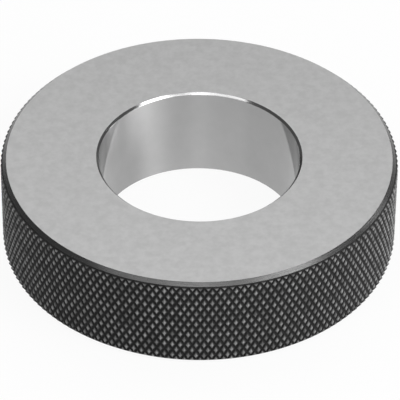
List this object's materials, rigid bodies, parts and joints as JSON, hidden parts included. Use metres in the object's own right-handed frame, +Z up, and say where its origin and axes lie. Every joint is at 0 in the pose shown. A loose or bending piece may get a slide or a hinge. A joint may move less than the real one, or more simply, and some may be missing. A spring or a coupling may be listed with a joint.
{
  "type": "setting ring gauge",
  "caption": "Plain setting ring for setting and checking bore gauges: a flat steel ring with ground faces, a smooth round bore and a chamfered, diamond-knurled rim.",
  "frame": {"origin": "centre of the bore in the plane of the lower end face, on which the ring rests", "axes": "+Z up along the axis of the bore; +X and +Y lie in the end face and are free, because the ring is round; the picture is taken from the -Y side"},
  "size_m": [0.071, 0.071, 0.018],
  "materials": {
    "steel": "hardened steel: fine ground end faces, lapped mirror bore, blackened satin rim and chamfers"
  },
  "bodies": {
    "root": {"ring": "steel"}
  },
  "joints": []
}
